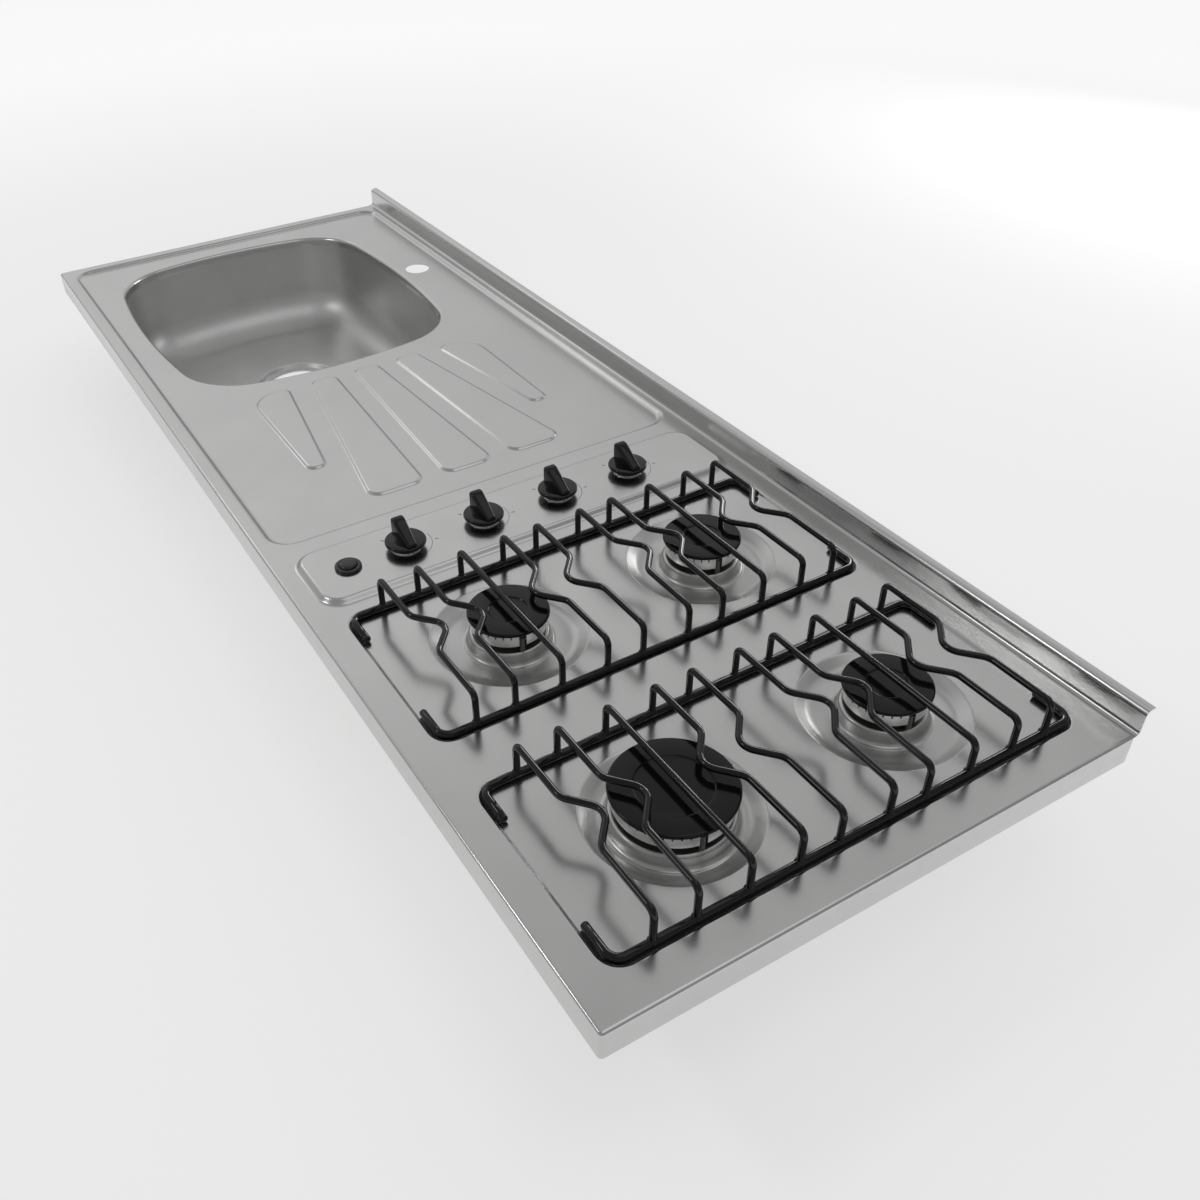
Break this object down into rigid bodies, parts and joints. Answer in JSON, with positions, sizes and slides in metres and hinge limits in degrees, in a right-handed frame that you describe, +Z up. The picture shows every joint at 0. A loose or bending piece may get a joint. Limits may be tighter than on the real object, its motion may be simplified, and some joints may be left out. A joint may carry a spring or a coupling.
{
  "type": "sink and stove unit",
  "caption": "Lay-on stainless kitchen top with an inset sink bowl, ribbed drainer, raised knob panel, gas burners and wire grates.",
  "frame": {"origin": "middle of the plan, on the underside of the flat sheet that lies on the cabinet", "axes": "+X to the hob end, +Y to the wall and upstand, +Z up"},
  "size_m": [1.5, 0.529, 0.1743],
  "materials": {
    "deck_steel": "satin stainless sheet",
    "bowl_steel": "satin drawn stainless",
    "plain_steel": "zinc-plated",
    "grate_enamel": "glossy black enamel",
    "cap_enamel": "semi-gloss black enamel",
    "crown_alu": "turned, polished",
    "collar_alu": "polished",
    "cast_alu": "as cast",
    "pipe_alu": "drawn tube",
    "ceramic": "glazed white insulator",
    "knob_black": "glossy black",
    "bezel_chrome": "bright",
    "black_plastic": "black, moulded",
    "grey_plastic": "moulded housing",
    "brass": "machined"
  },
  "bodies": {
    "unit": {"worktop": "deck_steel", "sink_bowl": "bowl_steel", "stiffener_1": "plain_steel", "stiffener_2": "plain_steel", "electrode_pins": "plain_steel", "injectors": "brass", "collar_screws": "plain_steel", "rail_screws": "plain_steel", "gas_rail": "plain_steel", "rail_bracket_1": "plain_steel", "rail_bracket_2": "plain_steel", "igniter_bezel": "black_plastic", "igniter_body": "grey_plastic", "burner_collar_1": "collar_alu", "burner_cup_1": "cast_alu", "electrode_1": "ceramic", "gas_pipe_1": "pipe_alu", "knob_bezel_1": "bezel_chrome", "gas_tap_1": "brass", "burner_collar_2": "collar_alu", "burner_cup_2": "cast_alu", "electrode_2": "ceramic", "gas_pipe_2": "pipe_alu", "knob_bezel_2": "bezel_chrome", "gas_tap_2": "brass", "burner_collar_3": "collar_alu", "burner_cup_3": "cast_alu", "electrode_3": "ceramic", "gas_pipe_3": "pipe_alu", "knob_bezel_3": "bezel_chrome", "gas_tap_3": "brass", "burner_collar_4": "collar_alu", "burner_cup_4": "cast_alu", "electrode_4": "ceramic", "gas_pipe_4": "pipe_alu", "knob_bezel_4": "bezel_chrome", "gas_tap_4": "brass"},
    "tap_plug_1": {"tap_plug_1": "brass"},
    "knob_1": {"knob_1": "knob_black", "spindle_1": "plain_steel"},
    "crown_1": {"burner_crown_1": "crown_alu"},
    "cap_1": {"burner_cap_1": "cap_enamel"},
    "tap_plug_2": {"tap_plug_2": "brass"},
    "knob_2": {"knob_2": "knob_black", "spindle_2": "plain_steel"},
    "crown_2": {"burner_crown_2": "crown_alu"},
    "cap_2": {"burner_cap_2": "cap_enamel"},
    "tap_plug_3": {"tap_plug_3": "brass"},
    "knob_3": {"knob_3": "knob_black", "spindle_3": "plain_steel"},
    "crown_3": {"burner_crown_3": "crown_alu"},
    "cap_3": {"burner_cap_3": "cap_enamel"},
    "tap_plug_4": {"tap_plug_4": "brass"},
    "knob_4": {"knob_4": "knob_black", "spindle_4": "plain_steel"},
    "crown_4": {"burner_crown_4": "crown_alu"},
    "cap_4": {"burner_cap_4": "cap_enamel"},
    "igniter_button": {"igniter_button": "black_plastic"},
    "grate_1": {"grate_1": "grate_enamel"},
    "grate_2": {"grate_2": "grate_enamel"}
  },
  "joints": [
    {"name": "knob_turn_1", "type": "hinge", "parent": "unit", "child": "tap_plug_1", "pos_m": [0.195, -0.13099, 0], "axis": [0, 0, 1], "range_deg": [0, 210]},
    {"name": "knob_push_1", "type": "slide", "parent": "tap_plug_1", "child": "knob_1", "axis": [0, 0, -1], "range_m": [0, 0.0035], "stiffness_N_per_m": 800, "springref_m": -0.004},
    {"name": "knob_turn_2", "type": "hinge", "parent": "unit", "child": "tap_plug_2", "pos_m": [0.195, -0.042, 0], "axis": [0, 0, 1], "range_deg": [0, 210]},
    {"name": "knob_push_2", "type": "slide", "parent": "tap_plug_2", "child": "knob_2", "axis": [0, 0, -1], "range_m": [0, 0.0035], "stiffness_N_per_m": 800, "springref_m": -0.004},
    {"name": "knob_turn_3", "type": "hinge", "parent": "unit", "child": "tap_plug_3", "pos_m": [0.195, 0.047, 0], "axis": [0, 0, 1], "range_deg": [0, 210]},
    {"name": "knob_push_3", "type": "slide", "parent": "tap_plug_3", "child": "knob_3", "axis": [0, 0, -1], "range_m": [0, 0.0035], "stiffness_N_per_m": 800, "springref_m": -0.004},
    {"name": "knob_turn_4", "type": "hinge", "parent": "unit", "child": "tap_plug_4", "pos_m": [0.195, 0.13599, 0], "axis": [0, 0, 1], "range_deg": [0, 210]},
    {"name": "knob_push_4", "type": "slide", "parent": "tap_plug_4", "child": "knob_4", "axis": [0, 0, -1], "range_m": [0, 0.0035], "stiffness_N_per_m": 800, "springref_m": -0.004},
    {"name": "igniter_push", "type": "slide", "parent": "unit", "child": "igniter_button", "axis": [0, 0, -1], "range_m": [0, 0.003], "stiffness_N_per_m": 1000, "springref_m": -0.003},
    {"name": "crown_lift_1", "type": "slide", "parent": "unit", "child": "crown_1", "axis": [0, 0, 1], "range_m": [0, 0.0025]},
    {"name": "cap_lift_1", "type": "slide", "parent": "crown_1", "child": "cap_1", "axis": [0, 0, 1], "range_m": [0, 0.0025]},
    {"name": "crown_lift_2", "type": "slide", "parent": "unit", "child": "crown_2", "axis": [0, 0, 1], "range_m": [0, 0.0025]},
    {"name": "cap_lift_2", "type": "slide", "parent": "crown_2", "child": "cap_2", "axis": [0, 0, 1], "range_m": [0, 0.0025]},
    {"name": "crown_lift_3", "type": "slide", "parent": "unit", "child": "crown_3", "axis": [0, 0, 1], "range_m": [0, 0.0025]},
    {"name": "cap_lift_3", "type": "slide", "parent": "crown_3", "child": "cap_3", "axis": [0, 0, 1], "range_m": [0, 0.0025]},
    {"name": "crown_lift_4", "type": "slide", "parent": "unit", "child": "crown_4", "axis": [0, 0, 1], "range_m": [0, 0.0025]},
    {"name": "cap_lift_4", "type": "slide", "parent": "crown_4", "child": "cap_4", "axis": [0, 0, 1], "range_m": [0, 0.0025]},
    {"name": "grate_lift_1", "type": "slide", "parent": "unit", "child": "grate_1", "axis": [0, 0, 1], "range_m": [0, 0.15]},
    {"name": "grate_lift_2", "type": "slide", "parent": "unit", "child": "grate_2", "axis": [0, 0, 1], "range_m": [0, 0.15]}
  ]
}
